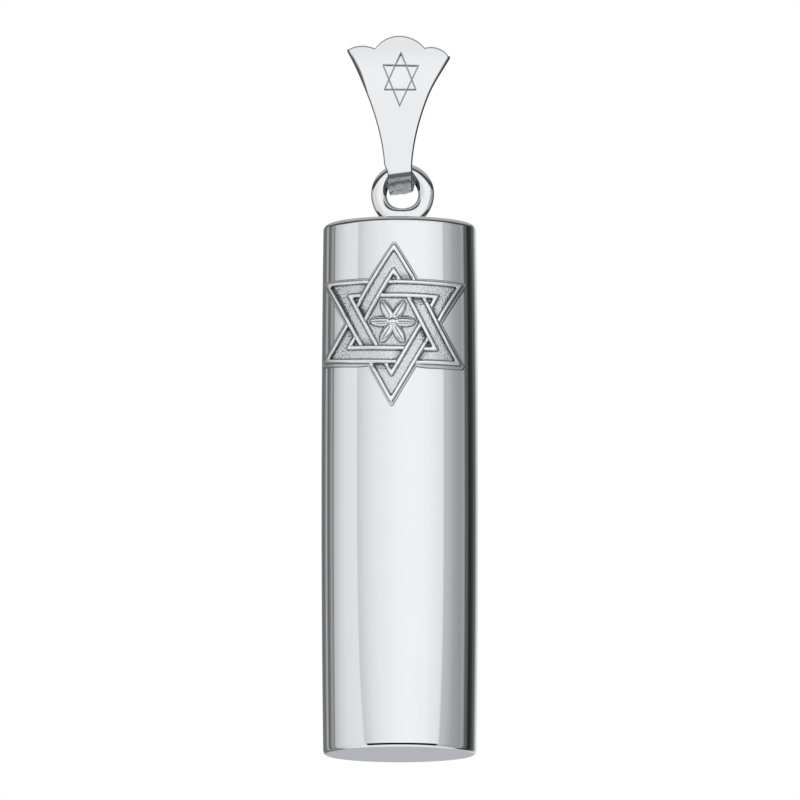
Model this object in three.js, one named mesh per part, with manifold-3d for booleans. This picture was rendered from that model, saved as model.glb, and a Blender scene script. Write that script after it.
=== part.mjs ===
// A pendant mezuzah case: a polished silver tube closed by a soldered top plate and a pull-off base,
// with an interlaced six-pointed star soldered to its front, a wire ring on top, and a flared bail
// folded through the ring for a neck chain. A rolled parchment lies inside.
// Millimetres, +Z up, front towards -Y. Heights below are measured from the underside of the case;
// the last group moves the whole model so that the origin is where the chain bears on the bail.
import * as THREE from "three";
import { mergeVertices } from "three/addons/utils/BufferGeometryUtils.js";
import Module from "manifold-3d";

const wasm = await Module();
wasm.setup();

// ---- Driving dimensions ----
const CASE_DIAMETER = 9.5;
const CASE_HEIGHT = 32.75;
const WALL = 0.5;
const TOP_EDGE_RADIUS = 0.35;

const BASE_THICKNESS = 0.25;
const BASE_EDGE_RADIUS = 0.2;
const SLEEVE_HEIGHT = 3.5;
const SLEEVE_WALL = 0.4;
const SLEEVE_SLOT_WIDTH = 0.4;
const SLEEVE_SLOT_COUNT = 4;
const SLIDING_GAP = 0.05;

const RING_DIAMETER = 3.9;
const RING_WIRE = 0.98;
const RING_X = 0.15; // the ring was soldered a little to the right of the middle
const RING_SEAT = 0.03; // how deep the foot of the ring is filed flat
const SOLDER_RADIUS = 1.25;
const SOLDER_HEIGHT = 0.34;
const SOLDER_GAP = 0.02;

const BAIL_SHEET = 0.4;
const BAIL_FOLD_INNER_RADIUS = 0.8;
const BAIL_FOLD_RISE = 1.23; // of the fold's axis above the middle of the ring
const BAIL_FOLD_HALF_WIDTH = 0.7; // at the bottom of the fold
const BAIL_SWING_HALF_WIDTH = 0.74; // beside the fold's axis
const BAIL_NECK_HALF_WIDTH = 0.81; // where the strip is clear of the ring
const BAIL_NECK_RISE = 0.35; // height of the neck above the fold's axis
const BAIL_FOLD_X = 0.04; // the fold lies a little to the right, over the ring
const BAIL_TOP_HALF_WIDTH = 3.14;
const BAIL_FLARE_POWER = 1.8;
const BAIL_SHOULDER_Z = 43.35;
const BAIL_NOTCH_X = 1.49;
const BAIL_NOTCH_Z = 43.62;
const BAIL_CROWN_Z = 44.45;
const BAIL_LOBE_RISE = 0.25;
const BAIL_BACK_HALF_WIDTH = 0.58; // of the plain strip behind
const BAIL_BACK_RISE = 0.6; // height over the fold's axis where the strip behind has that width

const STAR_RADIUS = 4.97; // centre to tip
const STAR_Z = 26.16;
const STAR_ROLL = -1.1; // degrees, seen from the front: the star was soldered slightly clockwise
const STAR_BAND = 1.06;
const STAR_BEAD = 0.21;
const STAR_MARGIN = 0.13; // of the plate round the bands
const STAR_PLATE_THICKNESS = 0.26;
const STAR_BEAD_HEIGHT = 0.27; // above the plate
const STAR_GAP = 0.01; // solder line between plate and tube
const PETAL_LENGTH = 1.42;
const PETAL_WIDTH = 0.6;
const BOSS_DIAMETER = 0.6;

const SCROLL_HEIGHT = 26.5;
const SCROLL_SHEET = 0.12;
const SCROLL_PITCH = 0.2;
const SCROLL_TURNS = 3.5;
const SCROLL_INNER_RADIUS = 1.85;
const SCROLL_CLEARANCE = 0.05;
const THREAD_THICKNESS = 0.3;
const THREAD_Z = 14;

// ---- Worked-out sizes ----
const CASE_RADIUS = CASE_DIAMETER / 2;
const BORE_RADIUS = CASE_RADIUS - WALL;
const SPIGOT_RADIUS = BORE_RADIUS - SLIDING_GAP;
const SEAM_Z = CASE_HEIGHT - TOP_EDGE_RADIUS;
const RING_LINE_RADIUS = (RING_DIAMETER - RING_WIRE) / 2;
const RING_Z = CASE_HEIGHT + RING_DIAMETER / 2 - RING_SEAT;
const SWING_Z = RING_Z + BAIL_FOLD_RISE; // the axis of the bail's fold, which the ring swings about
const FOLD_LINE_RADIUS = BAIL_FOLD_INNER_RADIUS + BAIL_SHEET / 2;
const STAR_PLATE_INNER = CASE_RADIUS + STAR_GAP;
const STAR_PLATE_OUTER = STAR_PLATE_INNER + STAR_PLATE_THICKNESS;
const STAR_BEAD_OUTER = STAR_PLATE_OUTER + STAR_BEAD_HEIGHT;
const HANG_Z = 42.7; // underside of the top of the bail's loop, on the case's axis

const ROUND = 72; // facets round the case
const SIDES = { A: [30, 150, 270], B: [90, 210, 330] }; // normals of the two triangles' sides, in degrees
const A_OVER = [0, 120, 240]; // crossings, by direction from the centre, where triangle A lies on top
const B_OVER = [60, 180, 300];

const SILVER = { color: 0xe6e7ea, roughness: 0.07, metalness: 1 };
const MATT_SILVER = { color: 0xb9bbbf, roughness: 0.35, metalness: 1 };
const SOLDER = { color: 0xd8d9db, roughness: 0.2, metalness: 1 };
const PARCHMENT = { color: 0xe2d2ab, roughness: 0.85, metalness: 0 };
const THREAD = { color: 0xf0ead8, roughness: 0.95, metalness: 0 };

// ---- Helpers ----
const radians = THREE.MathUtils.degToRad;
const polar = (radius, degrees) =>
  new THREE.Vector2(radius * Math.cos(radians(degrees)), radius * Math.sin(radians(degrees)));

/** A three.js geometry as a manifold-3d solid. */
function solid(geometry) {
  const bare = geometry.index ? geometry.toNonIndexed() : geometry.clone();
  bare.deleteAttribute("normal");
  bare.deleteAttribute("uv");
  const merged = mergeVertices(bare, 1e-5);
  const made = new wasm.Manifold(
    new wasm.Mesh({
      numProp: 3,
      vertProperties: new Float32Array(merged.attributes.position.array),
      triVerts: new Uint32Array(merged.index.array),
    }),
  );
  return made;
}

/** A manifold-3d solid as a three.js geometry. */
function geometryOf(made) {
  const mesh = made.getMesh();
  const geometry = new THREE.BufferGeometry();
  geometry.setAttribute("position", new THREE.BufferAttribute(mesh.vertProperties, 3));
  geometry.setIndex(new THREE.BufferAttribute(mesh.triVerts, 1));
  return geometry;
}

/** The main body of a solid, without the slivers a cut can leave. */
function largestBody(made) {
  return made.decompose().reduce((a, b) => (b.volume() > a.volume() ? b : a));
}

/** A profile of [radius, height] points, closed on itself or ending on the axis, turned about Z. */
function turned(points, segments = ROUND) {
  const profile = points.map(([radius, height]) => new THREE.Vector2(radius, height));
  return new THREE.LatheGeometry(profile, segments).rotateX(Math.PI / 2);
}

/** A round tube standing on Z, as a closed profile. */
function tube(inner, outer, low, high, segments = ROUND) {
  return turned([[inner, low], [outer, low], [outer, high], [inner, high], [inner, low]], segments);
}

/** A shape drawn in X and Z, extruded through y from front to back. */
function throughY(shape, front, back) {
  const settings = { depth: back - front, bevelEnabled: false };
  return new THREE.ExtrudeGeometry(shape, settings).rotateX(Math.PI / 2).translate(0, back, 0);
}

/** A shape drawn in Y and Z, extruded through x, centred. */
function throughX(shape, width) {
  const turn = new THREE.Matrix4().makeBasis(
    new THREE.Vector3(0, 1, 0),
    new THREE.Vector3(0, 0, 1),
    new THREE.Vector3(1, 0, 0),
  );
  const settings = { depth: width, bevelEnabled: false };
  return new THREE.ExtrudeGeometry(shape, settings).applyMatrix4(turn).translate(-width / 2, 0, 0);
}

function box(width, depth, height) {
  return new THREE.BoxGeometry(width, depth, height);
}

function mesh(name, geometry, finish) {
  const made = new THREE.Mesh(geometry, new THREE.MeshStandardMaterial(finish));
  made.name = name;
  return made;
}

// ---- Case: tube and top plate ----
function caseTube() {
  return tube(BORE_RADIUS, CASE_RADIUS, BASE_THICKNESS, SEAM_Z);
}

/** A plate with a rounded rim, and a hollow spigot that locates it in the tube. */
function topCap() {
  const arcSteps = 6;
  const spigotDepth = 0.8;
  const spigotWall = 0.5;
  const rim = [];
  for (let i = 0; i <= arcSteps; i += 1) {
    const angle = (i / arcSteps) * 90;
    const corner = polar(TOP_EDGE_RADIUS, angle);
    rim.push([CASE_RADIUS - TOP_EDGE_RADIUS + corner.x, SEAM_Z + corner.y]);
  }
  return turned([
    [0, SEAM_Z],
    [SPIGOT_RADIUS - spigotWall, SEAM_Z],
    [SPIGOT_RADIUS - spigotWall, SEAM_Z - spigotDepth],
    [SPIGOT_RADIUS, SEAM_Z - spigotDepth],
    [SPIGOT_RADIUS, SEAM_Z],
    ...rim,
    [0, CASE_HEIGHT],
  ]);
}

// ---- Ring and the solder that holds it ----
function ringTorus(wire) {
  const acrossWire = 16;
  const roundRing = 40;
  return solid(
    new THREE.TorusGeometry(RING_LINE_RADIUS, wire / 2, acrossWire, roundRing)
      .rotateX(Math.PI / 2)
      .translate(RING_X, 0, RING_Z),
  );
}

function hangingRing() {
  const belowTop = box(RING_DIAMETER, RING_DIAMETER, 1).translate(0, 0, CASE_HEIGHT - 0.5);
  return geometryOf(ringTorus(RING_WIRE).subtract(solid(belowTop)));
}

/** A low cone of solder round the ring's foot, hollowed by the ring. */
function ringSolder() {
  const cone = turned(
    [
      [0, CASE_HEIGHT],
      [SOLDER_RADIUS, CASE_HEIGHT],
      [SOLDER_RADIUS * 0.62, CASE_HEIGHT + SOLDER_HEIGHT * 0.4],
      [SOLDER_RADIUS * 0.4, CASE_HEIGHT + SOLDER_HEIGHT],
      [0, CASE_HEIGHT + SOLDER_HEIGHT],
    ],
    32,
  ).translate(RING_X, 0, 0);
  return geometryOf(largestBody(solid(cone).subtract(ringTorus(RING_WIRE + 2 * SOLDER_GAP))));
}

// ---- Bail ----
/** The middle line of the sheet, in Y and Z: down the front leaf, round the fold to its lowest point. */
function frontLine() {
  const leaf = new THREE.CatmullRomCurve3([
    new THREE.Vector3(0, -0.5, BAIL_CROWN_Z + 0.1),
    new THREE.Vector3(0, -0.92, 42.2),
    new THREE.Vector3(0, -1.1, 39),
    new THREE.Vector3(0, -FOLD_LINE_RADIUS, SWING_Z),
  ]);
  const points = leaf.getPoints(12).map((p) => new THREE.Vector2(p.y, p.z));
  return points.concat(foldPoints(180, 270, 8).slice(1));
}

/** The same for the strip behind: from the fold, up, and over to the back of the front leaf. */
function backLine() {
  const strip = new THREE.CatmullRomCurve3([
    new THREE.Vector3(0, FOLD_LINE_RADIUS, SWING_Z),
    new THREE.Vector3(0, 1.58, 38.0),
    new THREE.Vector3(0, 1.72, 39.8),
    new THREE.Vector3(0, 1.42, 41.4),
    new THREE.Vector3(0, 0.66, 42.6),
    new THREE.Vector3(0, -0.35, 43.06),
    new THREE.Vector3(0, -0.72, 43.1),
  ]);
  const points = strip.getPoints(20).map((p) => new THREE.Vector2(p.y, p.z));
  return foldPoints(262, 360, 8).slice(0, -1).concat(points);
}

/** Points round the fold's middle line, from one angle to another, in degrees. */
function foldPoints(from, to, steps) {
  const points = [];
  for (let i = 0; i <= steps; i += 1) {
    const p = polar(FOLD_LINE_RADIUS, from + ((to - from) * i) / steps);
    points.push(new THREE.Vector2(p.x, p.y + SWING_Z));
  }
  return points;
}

/** A ribbon of the sheet's thickness along a line, as a closed shape in Y and Z. */
function ribbon(line) {
  const left = [];
  const right = [];
  line.forEach((point, i) => {
    const before = line[Math.max(i - 1, 0)];
    const after = line[Math.min(i + 1, line.length - 1)];
    const along = after.clone().sub(before).normalize();
    const across = new THREE.Vector2(-along.y, along.x).multiplyScalar(BAIL_SHEET / 2);
    left.push(point.clone().add(across));
    right.push(point.clone().sub(across));
  });
  return new THREE.Shape(left.concat(right.reverse()));
}

/** Half the width of the strip round the fold and up to its neck. */
function neckHalfWidth(z) {
  const below = THREE.MathUtils.clamp((SWING_Z - z) / (FOLD_LINE_RADIUS + BAIL_SHEET / 2), 0, 1);
  const above = THREE.MathUtils.clamp((z - SWING_Z) / BAIL_NECK_RISE, 0, 1);
  return (
    BAIL_SWING_HALF_WIDTH +
    (BAIL_FOLD_HALF_WIDTH - BAIL_SWING_HALF_WIDTH) * below +
    (BAIL_NECK_HALF_WIDTH - BAIL_SWING_HALF_WIDTH) * above
  );
}

/** How far the strip's middle lies to the right at a height. */
function foldShift(z) {
  return BAIL_FOLD_X * THREE.MathUtils.clamp(1 - (z - SWING_Z) / BAIL_NECK_RISE, 0, 1);
}

/** Half the width of the front leaf at a height. */
function leafHalfWidth(z) {
  const rise = THREE.MathUtils.clamp((z - SWING_Z) / (BAIL_SHOULDER_Z - SWING_Z), 0, 1);
  const flare = BAIL_TOP_HALF_WIDTH - BAIL_NECK_HALF_WIDTH;
  return neckHalfWidth(z) + flare * Math.pow(rise, BAIL_FLARE_POWER);
}

/** Half the width of the strip behind at a height: it narrows over the fold and then runs straight. */
function stripHalfWidth(z) {
  const rise = THREE.MathUtils.clamp((z - SWING_Z) / BAIL_BACK_RISE, 0, 1);
  const atFold = Math.min(neckHalfWidth(z), BAIL_SWING_HALF_WIDTH);
  return THREE.MathUtils.lerp(atFold, BAIL_BACK_HALF_WIDTH, rise);
}

/** Height of the scalloped top edge at x: a crown in the middle and a lobe on each side. */
function leafTop(x) {
  const side = Math.abs(x);
  if (side <= BAIL_NOTCH_X) {
    const rise = BAIL_CROWN_Z - BAIL_NOTCH_Z;
    const radius = (BAIL_NOTCH_X ** 2 + rise ** 2) / (2 * rise);
    return BAIL_CROWN_Z - radius + Math.sqrt(radius ** 2 - side ** 2);
  }
  const u = (side - BAIL_NOTCH_X) / (BAIL_TOP_HALF_WIDTH - BAIL_NOTCH_X);
  return (
    THREE.MathUtils.lerp(BAIL_NOTCH_Z, BAIL_SHOULDER_Z, u) + 4 * BAIL_LOBE_RISE * u * (1 - u)
  );
}

/** A list of heights from one to another, both included. */
function heights(from, to, steps) {
  return Array.from({ length: steps + 1 }, (_, i) => THREE.MathUtils.lerp(from, to, i / steps));
}

/** Both sides of an outline from a half-width at each height, joined over a list of points. */
function outlineFrom(levels, halfWidth, top) {
  const right = levels.map((z) => new THREE.Vector2(foldShift(z) + halfWidth(z), z));
  const left = levels.map((z) => new THREE.Vector2(foldShift(z) - halfWidth(z), z)).reverse();
  return new THREE.Shape([...right, ...top, ...left]);
}

const FOOT_Z = SWING_Z - FOLD_LINE_RADIUS - BAIL_SHEET;
const FOLD_LEVELS = [
  ...heights(FOOT_Z, SWING_Z, 2),
  ...heights(SWING_Z, SWING_Z + BAIL_NECK_RISE, 2).slice(1),
];

/** The front leaf as seen from the front, carried down past the fold. */
function leafOutline() {
  const flare = heights(SWING_Z + BAIL_NECK_RISE, BAIL_SHOULDER_Z, 13).slice(1);
  const lobe = heights(BAIL_TOP_HALF_WIDTH, BAIL_NOTCH_X, 9).slice(1);
  const crown = heights(BAIL_NOTCH_X, 0, 9).slice(1);
  const right = [...lobe, ...crown].map((x) => new THREE.Vector2(x, leafTop(x)));
  const left = right
    .slice(0, -1)
    .map((p) => new THREE.Vector2(-p.x, p.y))
    .reverse();
  return outlineFrom([...FOLD_LEVELS, ...flare], leafHalfWidth, [...right, ...left]);
}

/** The strip behind, as seen from the back. */
function stripOutline() {
  const levels = [...FOLD_LEVELS, SWING_Z + BAIL_BACK_RISE, BAIL_CROWN_Z];
  return outlineFrom(levels, stripHalfWidth, []);
}

function bail() {
  const reach = 4;
  const across = 3 * BAIL_TOP_HALF_WIDTH;
  const leaf = solid(throughX(ribbon(frontLine()), across)).intersect(
    solid(throughY(leafOutline(), -reach, reach)),
  );
  const strip = solid(throughX(ribbon(backLine()), across)).intersect(
    solid(throughY(stripOutline(), -reach, reach)),
  );
  return geometryOf(leaf.add(strip));
}

// ---- Star emblem ----
/** A triangle whose sides lie at a distance from the centre, as points in X and Z. */
function trianglePoints(normals, distance) {
  return normals.map((degrees) => polar(2 * distance, degrees + 60));
}

/** A closed outline cut into short steps, so that it follows the round case when it is projected. */
function prism(points) {
  const step = 0.8;
  const rolled = points.map((p) => p.clone().rotateAround(new THREE.Vector2(), radians(STAR_ROLL)));
  const outline = rolled.flatMap((from, i) => {
    const to = rolled[(i + 1) % rolled.length];
    const count = Math.max(1, Math.round(from.distanceTo(to) / step));
    return Array.from({ length: count }, (_, k) => from.clone().lerp(to, k / count));
  });
  const front = -CASE_RADIUS - 2;
  return solid(throughY(new THREE.Shape(outline), front, -1).translate(0, 0, STAR_Z));
}

/** The frame between two triangles, set in by those distances from the band's outer edge. */
function triangleFrame(normals, outerInset, innerInset) {
  const outer = prism(trianglePoints(normals, STAR_RADIUS / 2 - outerInset));
  return outer.subtract(prism(trianglePoints(normals, STAR_RADIUS / 2 - innerInset)));
}

/** The lozenge where two bands cross, in a direction from the centre. It is wider than the lower
    band, whose side faces 30 degrees clockwise of that direction, and ends inside the upper one. */
function crossing(degrees) {
  const outer = STAR_RADIUS / 2;
  const inner = outer - STAR_BAND;
  const spare = 0.04;
  const under = polar(1, degrees - 30);
  const over = polar(1, degrees + 30);
  const det = under.x * over.y - under.y * over.x;
  const corner = (toUnder, toOver) =>
    new THREE.Vector2(
      (toUnder * over.y - toOver * under.y) / det,
      (toOver * under.x - toUnder * over.x) / det,
    );
  return prism([
    corner(inner - spare, inner + spare),
    corner(outer + spare, inner + spare),
    corner(outer + spare, outer - spare),
    corner(inner - spare, outer - spare),
  ]);
}

/** Both beads of one triangle's band, with the stretches left out where it runs under the other. */
function beads(normals, hidden) {
  const outer = triangleFrame(normals, 0, STAR_BEAD);
  const inner = triangleFrame(normals, STAR_BAND - STAR_BEAD, STAR_BAND);
  return hidden.reduce((made, degrees) => made.subtract(crossing(degrees)), outer.add(inner));
}

/** Six petals round a boss, which fill the hexagon in the middle of the star. */
function rosette() {
  const oval = (length, width, count) =>
    Array.from({ length: count }, (_, i) => {
      const p = polar(0.5, (360 / count) * i);
      return new THREE.Vector2(p.x * length, p.y * width);
    });
  const petal = (degrees) => {
    const middle = polar(PETAL_LENGTH / 2, degrees);
    return prism(
      oval(PETAL_LENGTH, PETAL_WIDTH, 10).map((p) =>
        p.rotateAround(new THREE.Vector2(), radians(degrees)).add(middle),
      ),
    );
  };
  const boss = prism(oval(BOSS_DIAMETER, BOSS_DIAMETER, 12));
  return [0, 60, 120, 180, 240, 300].map(petal).reduce((a, b) => a.add(b), boss);
}

function starEmblem() {
  const plateInset = -STAR_MARGIN;
  const plate = prism(trianglePoints(SIDES.A, STAR_RADIUS / 2 - plateInset)).add(
    prism(trianglePoints(SIDES.B, STAR_RADIUS / 2 - plateInset)),
  );
  const low = STAR_Z - STAR_RADIUS - 1;
  const high = STAR_Z + STAR_RADIUS + 1;
  const plateShell = solid(tube(STAR_PLATE_INNER, STAR_PLATE_OUTER, low, high));
  const beadShell = solid(tube(STAR_PLATE_INNER + 0.05, STAR_BEAD_OUTER, low, high));
  const raised = beads(SIDES.A, B_OVER).add(beads(SIDES.B, A_OVER)).add(rosette());
  return geometryOf(largestBody(plate.intersect(plateShell).add(raised.intersect(beadShell))));
}

// ---- Base: a thin disc with a split sleeve that grips the bore ----
function baseDisc() {
  const arcSteps = 4;
  const rim = [];
  for (let i = 0; i <= arcSteps; i += 1) {
    const corner = polar(BASE_EDGE_RADIUS, -90 + (i / arcSteps) * 90);
    rim.push([CASE_RADIUS - BASE_EDGE_RADIUS + corner.x, BASE_EDGE_RADIUS + corner.y]);
  }
  return turned([[0, 0], ...rim, [CASE_RADIUS, BASE_THICKNESS], [0, BASE_THICKNESS]]);
}

function frictionSleeve() {
  const outer = BORE_RADIUS - SLIDING_GAP;
  const top = BASE_THICKNESS + SLEEVE_HEIGHT;
  const slotFoot = BASE_THICKNESS + 1;
  const slotHeight = SLEEVE_HEIGHT;
  let sleeve = solid(tube(outer - SLEEVE_WALL, outer, BASE_THICKNESS, top));
  for (let i = 0; i < SLEEVE_SLOT_COUNT; i += 1) {
    const slot = box(CASE_DIAMETER, SLEEVE_SLOT_WIDTH, slotHeight)
      .translate(CASE_RADIUS, 0, slotFoot + slotHeight / 2)
      .rotateZ(radians(45 + (360 / SLEEVE_SLOT_COUNT) * i));
    sleeve = sleeve.subtract(solid(slot));
  }
  return geometryOf(sleeve);
}

// ---- Scroll ----
function spiralPoint(turns, offset) {
  const radius = SCROLL_INNER_RADIUS + SCROLL_PITCH * turns + offset;
  return polar(radius, 360 * turns);
}

/** A strip of parchment rolled up, standing on the base disc. */
function scroll() {
  const steps = Math.round(SCROLL_TURNS * 24);
  const outline = [];
  for (let i = 0; i <= steps; i += 1) {
    outline.push(spiralPoint((SCROLL_TURNS * i) / steps, SCROLL_SHEET));
  }
  for (let i = steps; i >= 0; i -= 1) {
    outline.push(spiralPoint((SCROLL_TURNS * i) / steps, 0));
  }
  const settings = { depth: SCROLL_HEIGHT, bevelEnabled: false };
  return new THREE.ExtrudeGeometry(new THREE.Shape(outline), settings).translate(
    0,
    0,
    BASE_THICKNESS + SCROLL_CLEARANCE,
  );
}

/** The thread that keeps the scroll rolled, clear of the roll's outermost point. */
function scrollThread() {
  const scrollRadius = SCROLL_INNER_RADIUS + SCROLL_PITCH * SCROLL_TURNS + SCROLL_SHEET;
  const lineRadius = scrollRadius + 0.03 + THREAD_THICKNESS / 2;
  return new THREE.TorusGeometry(lineRadius, THREAD_THICKNESS / 2, 8, 32).translate(0, 0, THREAD_Z);
}

// ---- Assembly ----
const pendant = new THREE.Group();
pendant.position.z = -HANG_Z;
pendant.add(
  mesh("bail", bail(), SILVER),
  mesh("hanging_ring", hangingRing(), SILVER),
  mesh("ring_solder", ringSolder(), SOLDER),
  mesh("top_cap", topCap(), SILVER),
  mesh("case_tube", caseTube(), SILVER),
  mesh("star_emblem", starEmblem(), MATT_SILVER),
  mesh("base_disc", baseDisc(), SILVER),
  mesh("friction_sleeve", frictionSleeve(), SILVER),
  mesh("scroll", scroll(), PARCHMENT),
  mesh("scroll_thread", scrollThread(), THREAD),
);

const part = new THREE.Group();
part.add(pendant);

export default part;
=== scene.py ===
import math

import bpy
import numpy as np
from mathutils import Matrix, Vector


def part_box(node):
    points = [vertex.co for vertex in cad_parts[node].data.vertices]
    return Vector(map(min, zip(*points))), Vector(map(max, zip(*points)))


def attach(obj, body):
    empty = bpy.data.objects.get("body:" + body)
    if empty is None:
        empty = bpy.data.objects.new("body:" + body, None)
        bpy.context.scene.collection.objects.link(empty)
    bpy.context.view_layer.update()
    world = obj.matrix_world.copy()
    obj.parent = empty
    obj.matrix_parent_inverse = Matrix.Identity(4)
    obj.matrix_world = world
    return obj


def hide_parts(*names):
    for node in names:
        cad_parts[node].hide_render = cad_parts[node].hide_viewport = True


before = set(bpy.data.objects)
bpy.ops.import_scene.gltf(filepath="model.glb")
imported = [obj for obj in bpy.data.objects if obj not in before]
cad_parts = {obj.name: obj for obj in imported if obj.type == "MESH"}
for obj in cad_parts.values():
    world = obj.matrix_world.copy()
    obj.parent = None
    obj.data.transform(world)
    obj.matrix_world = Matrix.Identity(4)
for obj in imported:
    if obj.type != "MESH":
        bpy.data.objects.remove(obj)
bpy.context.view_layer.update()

# ---- Sizes, in metres unless a name says otherwise ----
MM = 0.001

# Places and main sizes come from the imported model's boxes.
tube_low, tube_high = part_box("case_tube")
cap_low, cap_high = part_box("top_cap")
base_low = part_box("base_disc")[0]
sleeve_low, sleeve_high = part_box("friction_sleeve")
ring_low, ring_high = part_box("hanging_ring")
scroll_low, scroll_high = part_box("scroll")
thread_low, thread_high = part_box("scroll_thread")
bail_low, bail_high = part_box("bail")
star_low, star_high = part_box("star_emblem")

CASE_RADIUS = (tube_high.x - tube_low.x) / 2
CASE_FOOT = base_low.z
SEAM_LOW = tube_low.z
SEAM_HIGH = tube_high.z
CASE_TOP = cap_high.z
WALL = 0.5 * MM
BORE_RADIUS = CASE_RADIUS - WALL
TOP_EDGE = 0.37 * MM
SPIGOT_DEPTH = SEAM_HIGH - cap_low.z
SPIGOT_OUTER = BORE_RADIUS - 0.05 * MM
SPIGOT_INNER = SPIGOT_OUTER - 0.5 * MM
BASE_EDGE = 0.2 * MM
BASE_BEVEL = math.radians(16)  # the steep part of the edge, over the round part
CRISP_EDGE = 0.015 * MM
BARREL_MIDDLE = 0.06 * MM
BARREL_FALL = 0.11 * MM

RING_WIRE = (ring_high.y - ring_low.y) / 2
RING_OUTER = (ring_high.x - ring_low.x) / 2
RING_LINE = RING_OUTER - RING_WIRE
RING_X = (ring_high.x + ring_low.x) / 2 + 0.03 * MM
RING_Z = ring_high.z - RING_OUTER
SOLDER_HALF_LENGTH = 1.25 * MM
SOLDER_HALF_DEPTH = 0.72 * MM
SOLDER_HEIGHT = 0.42 * MM

SHEET = 0.4 * MM
FOLD_INNER = 0.8 * MM
FOLD_LINE = FOLD_INNER + SHEET / 2
SWING_Z = RING_Z + 1.23 * MM
FOLD_HALF_WIDTH = 0.73 * MM
SWING_HALF_WIDTH = 0.76 * MM
NECK_HALF_WIDTH = 0.85 * MM
NECK_RISE = 0.6 * MM
FOLD_X = 0.1 * MM
FOLD_TILT = 0.13  # rise of the fold's right side over its left, per unit of width
TILT_FULL = 0.5 * MM  # how far below the swing axis the tilt begins to fade
TILT_GONE = 1.2 * MM  # how far above it the tilt has gone
FOLD_LUMPS = 0.02 * MM
SHADED_EDGE_WIDTH = 0.11 * MM  # width of the strip of painted shade down the leaf's edges
SHADED_EDGE_BLUR = 0.02 * MM
LEFT_SHADE_EXTRA = 0.09 * MM  # what the left one has more at its widest
LEFT_SHADE_FROM = 0.66  # share of the leaf's height above which it has it
EDGE_ROUND = 0.5  # share of the sheet's thickness that its rounded edges take
LEAF_TOP_HALF_WIDTH = (bail_high.x - bail_low.x) / 2 + 0.04 * MM
LEAF_FLARE_POWER = 1.8
GROOVE_HALF_WIDTH = 0.055 * MM  # of the engraved star's lines
GROOVE_DEPTH = 0.025 * MM
STRIP_HALF_WIDTH = 0.58 * MM
STRIP_RISE = 0.6 * MM
CROWN_Z = bail_high.z
NOTCH_Z = CROWN_Z - 0.8 * MM
SHOULDER_Z = CROWN_Z - 1.1 * MM
# On the left and on the right:
NOTCH_X = (1.5 * MM, 1.66 * MM)
SHOULDERS_Z = (CROWN_Z - 0.8 * MM, CROWN_Z - 1.25 * MM)
LOBE_RISES = (0.19 * MM, 0.23 * MM)
CORNERS = (0.04 * MM, 0.1 * MM)  # how far the corners are rounded down
CORNER_FROM = 0.8  # share of a lobe's width after which it is rounded

STAR_RADIUS = 4.97 * MM
STAR_Z = (star_low.z + star_high.z) / 2
STAR_ROLL = math.radians(-1.1)
STAR_BAND = 1.06 * MM
STAR_BEAD = 0.24 * MM
STAR_MARGIN = 0.13 * MM
STAR_FLOOR = 0.25 * MM  # of the channels, above the tube
STAR_BEDDED = 0.06 * MM  # how far its back is let into the tube
STAR_BEAD_HEIGHT = 0.24 * MM
STAR_SKEW = 0.15 * MM  # how far both side tips lie to the left
STAR_DROOP = 0.12 * MM  # how far the upper and lower tips lie inwards
STAR_SPREAD = 0.1 * MM  # how far the level bands lie outwards
STAR_LIFTS = (0.37 * MM, 0.19 * MM)  # how far the lower side tips curl up, left and right
STAR_LOW_MARGIN = 0.1 * MM  # what the plate has more below its level edge
STAR_RIM_FALL = 0.05 * MM
STAR_SHADE_DEPTH = 0.06 * MM  # depth under its blurred surroundings at which a place gets full painted shade
STAR_SHADE = 0.8  # how dark full painted shade is
STAR_CELLS = 84  # of the lattice, from the middle to a side

SLEEVE_SHEET = 0.4 * MM
SCROLL_SHEET = 0.12 * MM
SCROLL_PITCH = 0.2 * MM
SCROLL_TURNS = 3.5
SCROLL_INNER = 1.85 * MM
THREAD_RADIUS = (thread_high.z - thread_low.z) / 2
THREAD_Z = (thread_high.z + thread_low.z) / 2
THREAD_BRIDGE = 0.6  # radians that it takes to come down from the sheet's edge

VIEW_AZIMUTH = math.radians(4.9)
VIEW_ELEVATION = math.radians(-7.12)
VIEW_DISTANCE = 1.1
FRAME_WIDTH = 49.2 * MM  # what the picture's width covers at the pendant
FRAME_CENTRE_Z = CASE_FOOT + 21.93 * MM
FRAME_CENTRE_RIGHT = 0.02 * MM

ROUND = 256  # sides of what is turned on the lathe


# ---- Mesh helpers ----
def mesh_object(name, vertices, faces, material, sharp_degrees=40):
    """A smooth-shaded mesh object whose edges are sharp above an angle."""
    mesh = bpy.data.meshes.new(name)
    mesh.from_pydata(np.asarray(vertices).tolist(), [], [list(map(int, f)) for f in faces])
    mesh.validate()
    mesh.polygons.foreach_set("use_smooth", [True] * len(mesh.polygons))
    mesh.set_sharp_from_angle(angle=math.radians(sharp_degrees))
    mesh.materials.append(material)
    made = bpy.data.objects.new(name, mesh)
    bpy.context.scene.collection.objects.link(made)
    return made


def placed(made, body, node):
    """Puts a piece on a body in place of a CAD node."""
    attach(made, body)
    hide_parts(node)


def loop_faces(rows, columns, wrap_rows=False):
    """Quads between closed loops of points, stored loop after loop."""
    faces = []
    for i in range(rows if wrap_rows else rows - 1):
        below = i * columns
        above = ((i + 1) % rows) * columns
        for j in range(columns):
            k = (j + 1) % columns
            faces.append((below + j, below + k, above + k, above + j))
    return faces


def around_axis(radius, angle, z):
    """Points at distances from the Z axis, angles round it and heights."""
    return np.column_stack(np.broadcast_arrays(radius * np.cos(angle), radius * np.sin(angle), z))


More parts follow.
